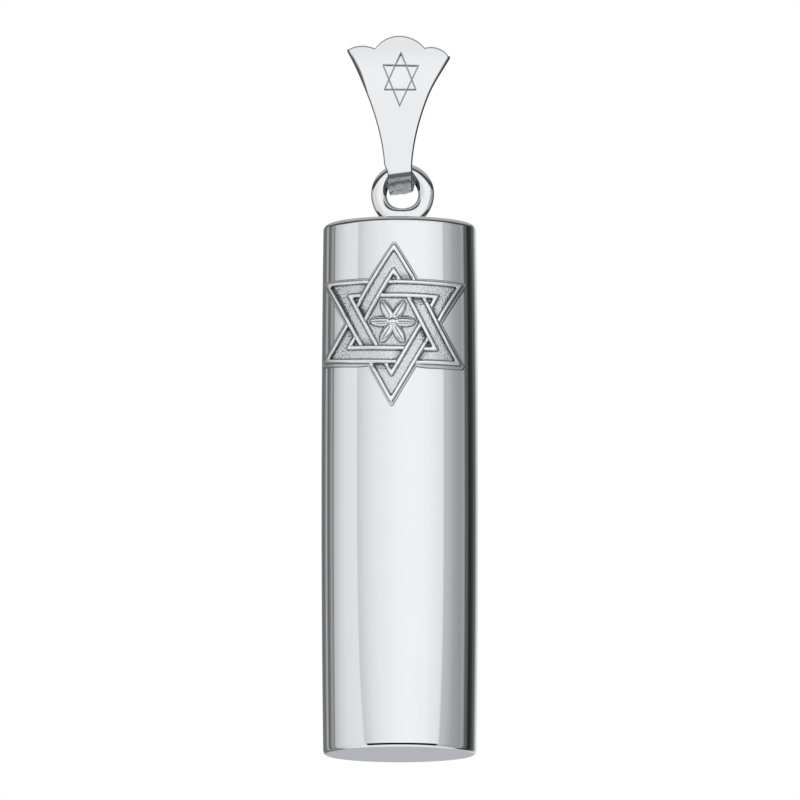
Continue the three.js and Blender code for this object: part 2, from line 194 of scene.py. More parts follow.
def lathe(name, profile, material):
    """A profile of (radius, height) points turned about Z: a closed loop, or a line from axis to axis."""
    angles = np.linspace(0, 2 * math.pi, ROUND, endpoint=False)
    meets_axis = profile[0][0] == 0
    inner = profile[1:-1] if meets_axis else profile
    vertices = [point for r, z in inner for point in around_axis(r, angles, z)]
    faces = loop_faces(len(inner), ROUND, wrap_rows=not meets_axis)
    if meets_axis:
        for (_, z), row in ((profile[0], 0), (profile[-1], len(inner) - 1)):
            centre = len(vertices)
            vertices.append((0, 0, z))
            start = row * ROUND
            for j in range(ROUND):
                k = (j + 1) % ROUND
                near, far = (start + k, start + j) if row == 0 else (start + j, start + k)
                faces.append((near, far, centre))
    return mesh_object(name, vertices, faces, material)


def arc(centre, radius, start, end, steps):
    """Points of a (radius, height) profile round a corner, between two angles in degrees."""
    angles = np.radians(np.linspace(start, end, steps + 1))
    return [(centre[0] + radius * math.cos(a), centre[1] + radius * math.sin(a)) for a in angles]


def level(start, end, z):
    """Points of a profile across a flat face, between two radii that have points of their own."""
    return [(r, z) for r in np.linspace(start, end, 8)[1:-1]]


def case_radius(z):
    """The case is a slight barrel shape: fuller in the middle than at its ends."""
    from_middle = 2 * (z - (SEAM_LOW + SEAM_HIGH) / 2) / (SEAM_HIGH - SEAM_LOW)
    return CASE_RADIUS + BARREL_MIDDLE - BARREL_FALL * from_middle**2


def unit(value):
    return np.clip(value, 0, 1)


def smoothstep(value, low, high):
    t = unit((value - low) / (high - low))
    return t * t * (3 - 2 * t)


def by_side(x, pair):
    """The first of a pair on the left of the middle, and the second on the right."""
    return np.where(x > 0, pair[1], pair[0])


def catmull_rom(points, per_span):
    """A smooth line through points, which carries on straight past its ends."""
    points = np.array(points, float)
    padded = np.vstack([2 * points[0] - points[1], points, 2 * points[-1] - points[-2]])
    t = np.linspace(0, 1, per_span, endpoint=False)[:, None]
    spans = []
    for before, here, there, after in zip(padded, padded[1:], padded[2:], padded[3:]):
        bend = 2 * before - 5 * here + 4 * there - after
        finish = 3 * (here - there) - before + after
        spans.append(here + 0.5 * ((there - before) * t + bend * t**2 + finish * t**3))
    return np.vstack([*spans, points[-1:]])


# ---- Materials ----
class Nodes:
    """A short way to build node trees: make a node, name its inputs, join its sockets."""

    def __init__(self, tree):
        self.tree = tree
        tree.nodes.clear()

    def make(self, kind, inputs=None, **settings):
        node = self.tree.nodes.new("ShaderNode" + kind)
        for key, value in settings.items():
            setattr(node, key, value)
        for key, value in (inputs or {}).items():
            if isinstance(value, bpy.types.NodeSocket):
                self.tree.links.new(value, node.inputs[key])
            elif value is not None:
                node.inputs[key].default_value = value
        return node

    def math(self, operation, a, b=0.0, c=0.0, clamp=False):
        node = self.make("Math", {0: a, 1: b, 2: c}, operation=operation, use_clamp=clamp)
        return node.outputs[0]

    def mix(self, share, a, b, blend_type="MIX"):
        """Two colours mixed by a share from 0 to 1."""
        node = self.make("Mix", {0: share, 6: a, 7: b}, data_type="RGBA", blend_type=blend_type)
        return node.outputs[2]

    def attribute(self, name):
        return self.make("Attribute", attribute_name=name).outputs["Fac"]

    def ramp(self, factor, stops):
        """A colour ramp over (position, grey or colour) stops."""
        node = self.make("ValToRGB", {"Fac": factor})
        elements = node.color_ramp.elements
        while len(elements) < len(stops):
            elements.new(0.5)
        for element, (position, value) in zip(elements, stops):
            element.position = position
            colour = value if isinstance(value, tuple) else (value, value, value)
            element.color = (*colour, 1)
        return node.outputs["Color"]

    def scale(self, source, low, high):
        """A 0 to 1 value brought between two others."""
        inputs = {"Value": source, "To Min": low, "To Max": high}
        return self.make("MapRange", inputs).outputs["Result"]

    def noise(self, scale, detail=3.0, roughness=0.5, stretch=None):
        """Noise in the object's own space, in features per metre."""
        where = self.make("TexCoord").outputs["Object"]
        if stretch:
            where = self.make("Mapping", {"Vector": where, "Scale": stretch}).outputs["Vector"]
        inputs = {"Vector": where, "Scale": scale, "Detail": detail, "Roughness": roughness}
        return self.make("TexNoise", inputs).outputs["Fac"]

    def bump(self, height, strength, distance=0.02 * MM, normal=None):
        """A normal that follows a height pattern, over another normal or the plain one."""
        inputs = {"Height": height, "Strength": strength, "Distance": distance, "Normal": normal}
        return self.make("Bump", inputs).outputs["Normal"]

    def surface(self, colour, roughness, normal=None, metallic=0.0):
        """The surface shader and the material's output."""
        inputs = {"Base Color": colour, "Metallic": metallic, "Roughness": roughness, "Normal": normal}
        shader = self.make("BsdfPrincipled", inputs)
        self.make("OutputMaterial", {"Surface": shader.outputs["BSDF"]})


def new_material(name):
    material = bpy.data.materials.new(name)
    material.use_nodes = True
    return material, Nodes(material.node_tree)


SILVER_HUE = (0.978, 0.987, 1.006)  # red, green and blue beside an even grey
WORN_ROUGHNESS = (0.05, 0.45)  # what wear adds, from its smoothest to its roughest spots


def polished_silver(name, roughness, waviness, tint=0.93, scratch=0.012, shade_tint=None):
    """Mirror-polished silver: faint handling haze, hairline scratches and a trace of waviness."""
    material, n = new_material(name)
    haze = n.noise(420, detail=4.0, roughness=0.6)
    rough = n.scale(haze, *roughness)
    hairlines = n.noise(9000, detail=2.0, stretch=(1.0, 1.0, 0.06))
    fine = n.bump(hairlines, scratch)
    wave = n.bump(n.noise(160, detail=1.0), waviness, 0.2 * MM, fine)
    clear = tuple(tint * hue for hue in SILVER_HUE)
    hazy = tuple(0.99 * c for c in clear)
    colour = n.ramp(haze, [(0.3, hazy), (0.7, clear)])
    if shade_tint:
        wear = n.scale(n.noise(1500), *WORN_ROUGHNESS)
        rough = n.math("MULTIPLY_ADD", n.attribute("worn"), wear, rough)
        # painted shade: the colour is darkened towards the tint by the point attribute that holds it
        colour = n.mix(n.attribute("shade_and_tone"), colour, (shade_tint, shade_tint, shade_tint, 1))
    n.surface(colour, rough, wave, metallic=1.0)
    return material


def star_silver(name):
    """Silver that is bright on raised lines, and grey and grainy where a point attribute is high, which
    holds painted shade as well as the grain and tone of the channels.
    """
    material, n = new_material(name)
    bright = (0.97, 0.975, 0.985)
    dim_shade = (0.74, 0.745, 0.76)
    dark = (0.2, 0.205, 0.21)
    grain = n.noise(9000, roughness=0.7)
    shade_and_tone_share = n.math("MULTIPLY", n.attribute("shade_and_tone"), n.scale(grain, 0.75, 1.25), clamp=True)
    colour = n.ramp(shade_and_tone_share, [(0.0, bright), (0.35, dim_shade), (1.0, dark)])
    n.surface(colour, n.scale(shade_and_tone_share, 0.13, 0.5), n.bump(grain, 0.12), metallic=0.95)
    return material


def brushed_silver(name):
    """Silver left from the lathe or file: fine lines round the axis and a dull lustre."""
    material, n = new_material(name)
    lines = n.noise(2600, detail=4.0, stretch=(0.15, 0.15, 4.0))
    colour = n.ramp(n.noise(500), [(0.3, (0.74, 0.74, 0.74)), (0.7, (0.86, 0.86, 0.87))])
    n.surface(colour, n.scale(lines, 0.22, 0.4), n.bump(lines, 0.2), metallic=1.0)
    return material


def parchment(name):
    """Dry parchment: mottled cream with faint pores and fibres."""
    material, n = new_material(name)
    tan = (0.62, 0.5, 0.31)
    cream = (0.76, 0.66, 0.46)
    pale = (0.84, 0.76, 0.58)
    mottle = n.ramp(n.noise(260, detail=5.0, roughness=0.6), [(0.25, tan), (0.5, cream), (0.8, pale)])
    pores = n.noise(6000, detail=2.0)
    fibres = n.ramp(n.noise(1400, stretch=(1.0, 1.0, 0.2)), [(0.3, 0.86), (0.7, 1.0)])
    colour = n.mix(1.0, mottle, fibres, "MULTIPLY")
    n.surface(colour, n.scale(pores, 0.6, 0.9), n.bump(pores, 0.35))
    return material


def thread_cotton(name):
    """Undyed cotton: fine fibres along the twist."""
    material, n = new_material(name)
    fibres = n.noise(9000, stretch=(1.0, 1.0, 0.3))
    colour = n.ramp(fibres, [(0.3, (0.72, 0.68, 0.56)), (0.7, (0.88, 0.85, 0.76))])
    n.surface(colour, 0.9, n.bump(fibres, 0.5))
    return material


TUBE_SILVER = polished_silver("tube_silver", (0.01, 0.03), waviness=0.006, scratch=0.005)
CAP_SILVER = polished_silver("cap_silver", (0.04, 0.09), waviness=0.03)
RING_SILVER = polished_silver("ring_silver", (0.05, 0.11), waviness=0.12, scratch=0.03)
BAIL_SILVER = polished_silver("bail_silver", (0.04, 0.08), waviness=0.05, shade_tint=0.13)
SOLDER_SILVER = polished_silver("solder_silver", (0.1, 0.25), waviness=0.25, tint=0.86)
STAR_SILVER = star_silver("star_silver")
SLEEVE_SILVER = brushed_silver("sleeve_silver")
PARCHMENT = parchment("parchment")
THREAD = thread_cotton("thread")


# ---- Case ----
def case_tube():
    plain = 1 * MM  # of the bore at each end without a row of points
    profile = [
        *[(case_radius(z), z) for z in np.linspace(SEAM_LOW, SEAM_HIGH, 64)],
        (BORE_RADIUS, SEAM_HIGH),
        *[(BORE_RADIUS, z) for z in np.linspace(SEAM_HIGH - plain, SEAM_LOW + plain, 14)],
        *arc((BORE_RADIUS + CRISP_EDGE, SEAM_LOW + CRISP_EDGE), CRISP_EDGE, 180, 270, 3),
    ]
    placed(lathe("polished_tube", profile, TUBE_SILVER), "case", "case_tube")


def top_cap():
    rim_radius = case_radius(SEAM_HIGH)
    profile = [
        (0, SEAM_HIGH),
        (SPIGOT_INNER * 0.5, SEAM_HIGH),
        (SPIGOT_INNER, SEAM_HIGH),
        (SPIGOT_INNER, SEAM_HIGH - SPIGOT_DEPTH),
        (SPIGOT_OUTER, SEAM_HIGH - SPIGOT_DEPTH),
        (SPIGOT_OUTER, SEAM_HIGH),
        (rim_radius, SEAM_HIGH),
        *arc((rim_radius - TOP_EDGE, CASE_TOP - TOP_EDGE), TOP_EDGE, 0, 90, 14),
        *level(rim_radius - TOP_EDGE, 0, CASE_TOP),
        (0, CASE_TOP),
    ]
    placed(lathe("top_plate", profile, CAP_SILVER), "case", "top_cap")


def base_disc():
    rim_radius = case_radius(SEAM_LOW)
    bevel_height = SEAM_LOW - CASE_FOOT - BASE_EDGE * (1 - math.sin(BASE_BEVEL))
    bevel_foot = rim_radius - bevel_height * math.tan(BASE_BEVEL)
    centre = (bevel_foot - BASE_EDGE * math.cos(BASE_BEVEL), CASE_FOOT + BASE_EDGE)
    profile = [
        (0, CASE_FOOT),
        *level(0, centre[0], CASE_FOOT),
        *arc(centre, BASE_EDGE, -90, -math.degrees(BASE_BEVEL), 6),
        (rim_radius, SEAM_LOW),
        (BORE_RADIUS * 0.5, SEAM_LOW),
        (0, SEAM_LOW),
    ]
    placed(lathe("base_plate", profile, CAP_SILVER), "base", "base_disc")


# ---- Ring ----
JOINT_TURN = 0.1  # radians past the ring's lowest point
JOINT_SPREAD = 0.055  # radians
JOINT_DIP = 0.05  # share of the wire that the joint is thinner
FOOT_SPREAD = 0.8  # radians
FOOT_SWELL = 0.2  # share of the wire that the foot is thicker, where solder runs up
FOOT_SQUARE = 0.5  # how far the foot's section is from round, towards square


def nearness(turn, spread):
    """A bell curve of how near a turn is to none, in radians."""
    return math.exp(-((math.remainder(turn, 2 * math.pi) / spread) ** 2))


def hanging_ring():
    """Round wire bent into a ring: filed flat underneath, with a soldered joint at the bottom."""
    around = 160
    across = 40
    vertices = []
    for i in range(around):
        from_foot = 2 * math.pi * i / around
        turn = from_foot - math.pi / 2
        joint = nearness(from_foot - JOINT_TURN, JOINT_SPREAD)
        foot = nearness(from_foot, FOOT_SPREAD)
        uneven = 0.012 * math.sin(3 * turn + 0.7) + 0.01 * math.sin(5 * turn)
        wire = RING_WIRE * (1 + uneven - JOINT_DIP * joint + FOOT_SWELL * foot)
        power = 1 - FOOT_SQUARE * foot
        for j in range(across):
            side = 2 * math.pi * j / across
            out = math.copysign(abs(math.cos(side)) ** power, math.cos(side))
            back = math.copysign(abs(math.sin(side)) ** power, math.sin(side))
            reach = RING_LINE + wire * out
            z = max(RING_Z + reach * math.sin(turn), CASE_TOP)
            vertices.append((RING_X + reach * math.cos(turn), wire * back, z))
    faces = [f[::-1] for f in loop_faces(around, across, wrap_rows=True)]
    made = mesh_object("wire_ring", vertices, faces, RING_SILVER)
    placed(made, "case", "hanging_ring")


def ring_solder():
    """A drop of solder that rises to the ring on each side and runs out on the plate."""
    rings = 24
    spokes = 72
    vertices = [(RING_X, 0, CASE_TOP + SOLDER_HEIGHT)]
    for i in range(1, rings + 1):
        out = i / rings
        z = CASE_TOP + SOLDER_HEIGHT * (1 - out) ** 1.6 * (1 + 0.5 * out)  # hollow flanks
        for j in range(spokes):
            angle = 2 * math.pi * j / spokes
            ragged = 1 + 0.05 * math.sin(3 * angle + 1) + 0.035 * math.sin(7 * angle)
            x = SOLDER_HALF_LENGTH * out * ragged * math.cos(angle)
            y = SOLDER_HALF_DEPTH * out * ragged * math.sin(angle)
            vertices.append((RING_X + x, y, z))
    faces = [(0, 1 + j, 1 + (j + 1) % spokes) for j in range(spokes)]
    faces += [(1 + a, 1 + d, 1 + c, 1 + b) for a, b, c, d in loop_faces(rings, spokes)]
    rim = 1 + (rings - 1) * spokes
    foot = len(vertices)
    vertices.append((RING_X, 0, CASE_TOP))
    faces += [(rim + (j + 1) % spokes, rim + j, foot) for j in range(spokes)]
    made = mesh_object("solder_drop", vertices, faces, SOLDER_SILVER)
    placed(made, "case", "ring_solder")


# ---- Bail ----
def shade_points(made, name, values):
    """Stores a share from 0 to 1 for each point, for the materials: of painted shade and the star's tone,
    or of wear.
    """
    attribute = made.data.attributes.new(name, "FLOAT", "POINT")
    attribute.data.foreach_set("value", np.asarray(values, np.float32))


def neck_half_width(z):
    below = unit((SWING_Z - z) / (FOLD_LINE + SHEET / 2))
    above = smoothstep(z, SWING_Z, SWING_Z + NECK_RISE)
    narrower = (FOLD_HALF_WIDTH - SWING_HALF_WIDTH) * below
    wider = (NECK_HALF_WIDTH - SWING_HALF_WIDTH) * above
    return SWING_HALF_WIDTH + narrower + wider


def leaf_half_width(z):
    rise = unit((z - SWING_Z) / (SHOULDER_Z - SWING_Z))
    return neck_half_width(z) + (LEAF_TOP_HALF_WIDTH - NECK_HALF_WIDTH) * rise**LEAF_FLARE_POWER


def strip_half_width(z):
    at_fold = np.minimum(neck_half_width(z), SWING_HALF_WIDTH)
    return at_fold + (STRIP_HALF_WIDTH - at_fold) * smoothstep(z, SWING_Z, SWING_Z + STRIP_RISE)


def leaf_top(x):
    """Height of the scalloped edge: a crown, and a lobe on each side, the right one lower."""
    side = np.abs(x)
    pairs = (NOTCH_X, SHOULDERS_Z, LOBE_RISES, CORNERS)
    notch, shoulder, bulge, corner = (by_side(x, pair) for pair in pairs)
    rise = CROWN_Z - NOTCH_Z
    radius = (notch**2 + rise**2) / (2 * rise)
    crown = CROWN_Z - radius + np.sqrt(radius**2 - np.minimum(side, notch) ** 2)
    u = unit((side - notch) / (LEAF_TOP_HALF_WIDTH - notch))
    rounding = corner * unit((u - CORNER_FROM) / (1 - CORNER_FROM)) ** 2
    lobe = NOTCH_Z + (shoulder - NOTCH_Z) * u + 4 * bulge * u * (1 - u) - rounding
    return np.where(side < notch, crown, lobe)


def sheet_profile(columns, corner_steps):
    """A loop round the sheet's section: (across and thickness from -1 to 1, share of the round edge)."""
    spread = np.linspace(-1, 1, columns)
    front = [(s, 1.0, 0.0) for s in spread]
    back = [(s, -1.0, 0.0) for s in spread[::-1]]
    turn = np.linspace(90, -90, corner_steps + 2)[1:-1]
    right = [(1.0, math.sin(a), math.cos(a)) for a in np.radians(turn)]
    left = [(-1.0, -math.sin(a), math.cos(a)) for a in np.radians(turn)]
    return np.array(front + right + back + left)


def engraved_segments():
    """The six lines of the thin star engraved on the leaf, in X and Z."""
    middle = (0.13 * MM, SWING_Z + 5.79 * MM)
    up = np.array([(0.03, 1.67), (0.96, -0.67), (-0.96, -0.64)]) * MM
    down = np.array([(-0.03, -1.67), (1.12, 0.82), (-1.07, 0.9)]) * MM
    segments = []
    for triangle in (up + middle, down + middle):
        segments += [(triangle[i], triangle[(i + 1) % 3]) for i in range(3)]
    return segments


def distance_to_segment(x, z, a, b):
    along = b - a
    t = unit(((x - a[0]) * along[0] + (z - a[1]) * along[1]) / (along @ along))
    return np.hypot(x - a[0] - t * along[0], z - a[1] - t * along[1])


def groove(x, z):
    """How far the engraving cuts at points of the leaf's face, from 0 to 1."""
    nearest = np.min([distance_to_segment(x, z, a, b) for a, b in engraved_segments()], axis=0)
    return unit(1 - nearest / GROOVE_HALF_WIDTH) ** 0.6


def leaf_line():
    """The middle of the sheet from the fold up to the leaf's top, in Y and Z."""
    top = bail_high.z
    points = [
        (-FOLD_LINE, SWING_Z),
        (-1.1 * MM, top - 5.45 * MM),
        (-0.92 * MM, top - 2.25 * MM),
        (-0.5 * MM, top + 0.1 * MM),
    ]
    return catmull_rom(points, 80)


def strip_line():
    """The same from the fold up the strip behind and over to the back of the leaf."""
    top = bail_high.z
    points = [
        (FOLD_LINE, SWING_Z),
        (1.58 * MM, top - 6.45 * MM),
        (1.72 * MM, top - 4.65 * MM),
        (1.42 * MM, top - 3.05 * MM),
        (0.66 * MM, top - 1.85 * MM),
        (-0.35 * MM, top - 1.39 * MM),
        (-0.72 * MM, top - 1.35 * MM),
    ]
    return catmull_rom(points, 12)


def line_normals(line):
    """Unit normals of a line in Y and Z, on its left-hand side."""
    along = np.gradient(line, axis=0)
    along /= np.linalg.norm(along, axis=1)[:, None]
    return np.column_stack([along[:, 1], -along[:, 0]])


def fold_shift(z):
    """How far the sheet lies to the right, at the fold and fading out above it."""
    return FOLD_X * (1 - smoothstep(z, SWING_Z, SWING_Z + NECK_RISE))


def fold_tilt(z):
    """How much the sheet rises per unit of width, at the fold and fading out above it."""
    return FOLD_TILT * (1 - smoothstep(z, SWING_Z - TILT_FULL, SWING_Z + TILT_GONE))


class Sheet:
    """Loops of points round the bail's sheet, step by step along it, with their shading."""

    columns = 120
    corner = 6
    inset = 0.5 * SHEET * EDGE_ROUND

    def __init__(self):
        self.across, self.through, self.edge = sheet_profile(self.columns, self.corner).T
        self.dim_shade = smoothstep(self.edge, 0.1, 0.6)  # painted shade on the rounded edges
        self.loops = []
        self.shade_and_tone = []
        self.worn = []

    def spread(self, half, shift):
        """X of a loop's points, from the sheet's half width there."""
        return self.across * (half - self.inset) + np.sign(self.across) * self.edge * self.inset + shift

    def add(self, x, y, z, normal_y, normal_z, shade_and_tone, cut=0, worn=0):
        """Adds a loop round a point of the middle line, with the engraving's cut in its front."""
        offset = self.through * SHEET / 2 - GROOVE_DEPTH * cut
        self.loops.append(np.column_stack([x, y + normal_y * offset, z + normal_z * offset]))
        self.shade_and_tone.append(shade_and_tone)
        self.worn.append(np.full(len(x), worn))

    def faces(self):
        """The skin between the loops, and a lid on each end."""
        count = len(self.across)
        last = (len(self.loops) - 1) * count
        skin = [f[::-1] for f in loop_faces(len(self.loops), count)]
        back = 2 * self.columns + self.corner - 1  # the point of the back behind point 0 of the front
        for k in range(-self.corner // 2, self.columns + self.corner // 2 - 1):
            lid = [point % count for point in (k, k + 1, back - 1 - k, back - k)]
            skin.append(lid)
            skin.append([last + point for point in reversed(lid)])
        return skin


def add_leaf(sheet):
    """The flared leaf, from its top down to the fold."""
    line = leaf_line()
    normals = line_normals(line)
    normals *= np.sign(-normals[:, :1])
    for v in np.linspace(1, 0, 230):
        height = SWING_Z + (SHOULDER_Z - SWING_Z) * v
        x = sheet.spread(leaf_half_width(height), fold_shift(height))
        scallop = leaf_top(sheet.across * LEAF_TOP_HALF_WIDTH) - SHOULDER_Z - sheet.inset
        z = height + scallop * smoothstep(v, 0.62, 1.0)
        y = np.interp(z, line[:, 1], line[:, 0])
        normal = [np.interp(z, line[:, 1], part) for part in normals.T]
        cut = np.where(sheet.through > 0.99, groove(x, z), 0)
        # Painted shade in the engraved grooves and on the rounded edges, the edges' shade lighter towards
        # the neck
        lighter = 0.5 + 0.5 * smoothstep(v, 0.3, 0.7)
        shade = np.maximum(cut, sheet.dim_shade) * (cut + (1 - cut) * lighter)
        # A strip of painted shade down each side of the leaf, wider high up on the left
        dim_shade = SHADED_EDGE_WIDTH * (0.5 + 0.5 * v)
        left_shade = LEFT_SHADE_EXTRA * math.sin(math.pi * max((v - LEFT_SHADE_FROM) / (1 - LEFT_SHADE_FROM), 0))
        within = np.maximum(x.min() + dim_shade + left_shade - x, x - x.max() + dim_shade)
        shade_and_tone = np.maximum(shade, smoothstep(within, -SHADED_EDGE_BLUR, SHADED_EDGE_BLUR))
        sheet.add(x, y, z + fold_tilt(height) * x, *normal, shade_and_tone, cut)


def add_leaf_top(sheet):
    """The leaf's rounded top edge, before its first loop."""
    first = sheet.loops[0]
    line = leaf_line()
    z_middle = np.interp(first[:, 0], first[: sheet.columns, 0], first[: sheet.columns, 2])
    y_middle = np.interp(z_middle, line[:, 1], line[:, 0])
    loops = []
    for angle in np.linspace(math.pi / 2, 0, 6)[:-1]:
        shrink = max(math.cos(angle), 0.02)
        loop = first.copy()
        loop[:, 1] = y_middle + (first[:, 1] - y_middle) * shrink
        loop[:, 2] = z_middle + (first[:, 2] - z_middle) * shrink + sheet.inset * math.sin(angle)
        loops.append(loop)
    sheet.loops[:0] = loops
    for shades in (sheet.shade_and_tone, sheet.worn):
        shades[:0] = [shades[0]] * len(loops)


def add_fold(sheet):
    """The fold through the ring: worn and lumpy below, with painted shade where the front turns in."""
    for a in np.radians(np.linspace(180, 360, 40)[1:-1]):
        outwards = (math.cos(a), math.sin(a))
        depth = math.sin(a - math.pi)
        z = SWING_Z + FOLD_LINE * outwards[1]
        x = sheet.spread(neck_half_width(z), FOLD_X)
        lumps = np.sin(5.1 * x / MM + 4 * a) + 0.8 * np.sin(9.3 * x / MM - 7 * a + 1)
        reach = FOLD_LINE + FOLD_LUMPS * lumps * depth**2
        # painted shade in a band where the front turns in
        fold_shade = smoothstep(depth, 0.02, 0.08) * (1 - smoothstep(depth, 0.24, 0.32)) * (outwards[0] < 0)
        sheet.add(
            x,
            reach * outwards[0],
            SWING_Z + reach * outwards[1] + FOLD_TILT * x,
            *outwards,
            np.maximum(sheet.dim_shade, fold_shade),
            worn=smoothstep(depth, 0.12, 0.32),
        )


def add_strip(sheet):
    """The plain strip, from the fold up and over to the back of the leaf."""
    line = strip_line()
    for i, ((y, z), normal) in enumerate(zip(line, line_normals(line))):
        x = sheet.spread(strip_half_width(z), fold_shift(z))
        tilt = fold_tilt(z) if i < len(line) / 2 else 0
        # painted shade on the rounded edges
        sheet.add(x, y, z + tilt * x, *normal, sheet.dim_shade)


def bail():
    """One folded strip: leaf, fold and back strip in one closed surface with rounded edges."""
    sheet = Sheet()
    add_leaf(sheet)
    add_leaf_top(sheet)
    add_fold(sheet)
    add_strip(sheet)
    made = mesh_object("folded_bail", np.vstack(sheet.loops), sheet.faces(), BAIL_SILVER, sharp_degrees=50)
    shade_points(made, "shade_and_tone", np.concatenate(sheet.shade_and_tone))
    shade_points(made, "worn", np.concatenate(sheet.worn))
    placed(made, "bail", "bail")


# ---- Star ----
SIDES_A = [30, 150, 270]  # normals of the sides of the triangle that points up, in degrees
SIDES_B = [90, 210, 330]


def turned(x, z, angle):
    """Distances along a direction of the plane and across it."""
    return x * math.cos(angle) + z * math.sin(angle), z * math.cos(angle) - x * math.sin(angle)


def triangle_reach(x, z, normals, rounding):
    """Distance from the centre towards the nearest side, with the corners rounded."""
    reaches = np.array([turned(x, z, angle)[0] for angle in np.radians(normals)])
    highest = reaches.max(axis=0)
    return highest + rounding * np.log(np.exp((reaches - highest) / rounding).sum(axis=0))


def bead(depth, middle):
    """A ridge with a flat top and rounded shoulders at a depth into the band."""
    t = np.abs(depth - middle) / (STAR_BEAD / 2)
    return unit(1 - t**6) ** 0.5


def band_profile(depth):
    """Height from 0 to 1 over the channel floor, at a depth in from the band's outer edge."""
    return np.maximum(bead(depth, STAR_BEAD / 2), bead(depth, STAR_BAND - STAR_BEAD / 2))


def stipple(x, z):
    """Punched grain: small round bumps at uneven places, from 0 to 1."""
    pitch = 0.09 * MM
    bump_radius = 0.62  # of a pitch
    random = np.random.default_rng(11)
    size = 128
    shift = random.uniform(-0.42, 0.42, (size, size, 2))
    height = random.uniform(0.35, 1.0, (size, size))
    u = x / pitch
    v = z / pitch
    cell_u = np.floor(u).astype(int)
    cell_v = np.floor(v).astype(int)
    grain = np.zeros_like(x)
    for du in (-1, 0, 1):
        for dv in (-1, 0, 1):
            i = (cell_u + du) % size
            j = (cell_v + dv) % size
            from_u = u - (cell_u + du + 0.5 + shift[i, j, 0])
            from_v = v - (cell_v + dv + 0.5 + shift[i, j, 1])
            dome = unit(1 - (np.hypot(from_u, from_v) / bump_radius) ** 2)
            grain = np.maximum(grain, height[i, j] * dome)
    return grain


def rosette(x, z):
    """Height from 0 to 1 of six petals round a boss."""
    half_length = 0.71 * MM
    half_width = 0.3 * MM
    vein_width = 0.035 * MM
    vein_start = 0.35 * MM
    boss_radius = 0.3 * MM
    relief = np.zeros_like(x)
    for angle in np.radians(range(0, 360, 60)):
        along, across = turned(x, z, angle)
        inside = ((along - half_length) / half_length) ** 2 + (across / half_width) ** 2
        petal = unit(1 - inside) ** 0.4
        vein = 0.35 * np.exp(-((across / vein_width) ** 2)) * (along > vein_start)
        relief = np.maximum(relief, petal * (1 - vein))
    boss = unit(1 - (np.hypot(x, z) / boss_radius) ** 2) ** 0.5
    return np.maximum(relief, 1.15 * boss)


def star_relief(x, z):
    """Height over the channels' floor and how dark the star is, in the plane, before it is rolled: its
    grain and tone, and painted shade where a band passes under another.
    """
    rounding = 0.045 * MM
    crossing_reach = 0.3 * MM
    lift = 0.04 * MM
    dip = 0.09 * MM
    middle_sink = 0.03 * MM
    pit_sink = 0.06 * MM
    margin_rise = 0.02 * MM
    grain_height = 0.025 * MM
    depth_a = STAR_RADIUS / 2 - triangle_reach(x, z, SIDES_A, rounding)
    depth_b = STAR_RADIUS / 2 - triangle_reach(x, z, SIDES_B, rounding)
    in_a = (depth_a > 0) & (depth_a < STAR_BAND)
    in_b = (depth_b > 0) & (depth_b < STAR_BAND)
    sector = np.round(np.degrees(np.arctan2(z, x)) / 60).astype(int) % 6
    a_over = sector % 2 == 0
    use_a = in_a & (a_over | ~in_b)
    channel = in_a | in_b
    middle = (depth_a >= STAR_BAND) & (depth_b >= STAR_BAND)
    pit = ~channel & ~middle & ((depth_a > 0) | (depth_b > 0))
    margin = ~channel & ~middle & ~pit

    def nearness_to_band(depth):
        gap = np.maximum(np.maximum(-depth, depth - STAR_BAND), 0)
        return np.exp(-((gap / crossing_reach) ** 2))

    near_a = nearness_to_band(depth_a)
    near_b = nearness_to_band(depth_b)
    profile_a = band_profile(depth_a)
    profile_b = band_profile(depth_b)
    height_a = STAR_BEAD_HEIGHT * profile_a + np.where(a_over, lift, -dip) * near_b
    height_b = STAR_BEAD_HEIGHT * profile_b + np.where(a_over, -dip, lift) * near_a
    grain = stipple(x, z)
    petals = rosette(x, z)
    relief = np.where(use_a, height_a, height_b)
    relief = np.where(middle, STAR_BEAD_HEIGHT * petals - middle_sink, relief)
    relief = np.where(pit, -pit_sink, relief)
    relief = np.where(margin, margin_rise, relief)
    raised = np.where(channel, np.where(use_a, profile_a, profile_b), np.where(middle, petals, 0))
    flat = unit(1 - raised) * ~margin
    relief = relief + (grain - 0.5) * grain_height * flat
    # Painted shade on a band near where it passes under another
    under_shade = np.where(use_a, np.where(a_over, 0, near_b), np.where(a_over, near_a, 0)) * channel
    ground = np.where(channel, 0.2, np.where(middle, 0.28, 0.45))
    darkness = flat * (ground + 0.25 * (0.5 - grain) + 0.35 * under_shade) + 0.13 * margin
    return relief, darkness


def blurred(field):
    """A field on the lattice, smoothed by repeated averaging with its six neighbours."""
    steps = ((0, 0), (1, 0), (-1, 0), (0, 1), (0, -1), (1, -1), (-1, 1))
    for _ in range(6):
        field = sum(np.roll(field, step, (0, 1)) for step in steps) / len(steps)
    return field


def lattice_triangles(i, j):
    """The lattice's triangles that lie in either big triangle of the star."""
    in_a = (i + j <= STAR_CELLS) & (-i <= STAR_CELLS) & (-j <= STAR_CELLS)
    in_b = (j <= STAR_CELLS) & (-i - j <= STAR_CELLS) & (i <= STAR_CELLS)
    index = np.arange(i.size).reshape(i.shape)
    right = index[1:, :-1]
    above = index[:-1, 1:]
    halves = ((index[:-1, :-1], right, above), (right, index[1:, 1:], above))
    triangles = np.vstack([np.stack(half, axis=-1).reshape(-1, 3) for half in halves])
    return triangles[in_a.ravel()[triangles].all(axis=1) | in_b.ravel()[triangles].all(axis=1)]


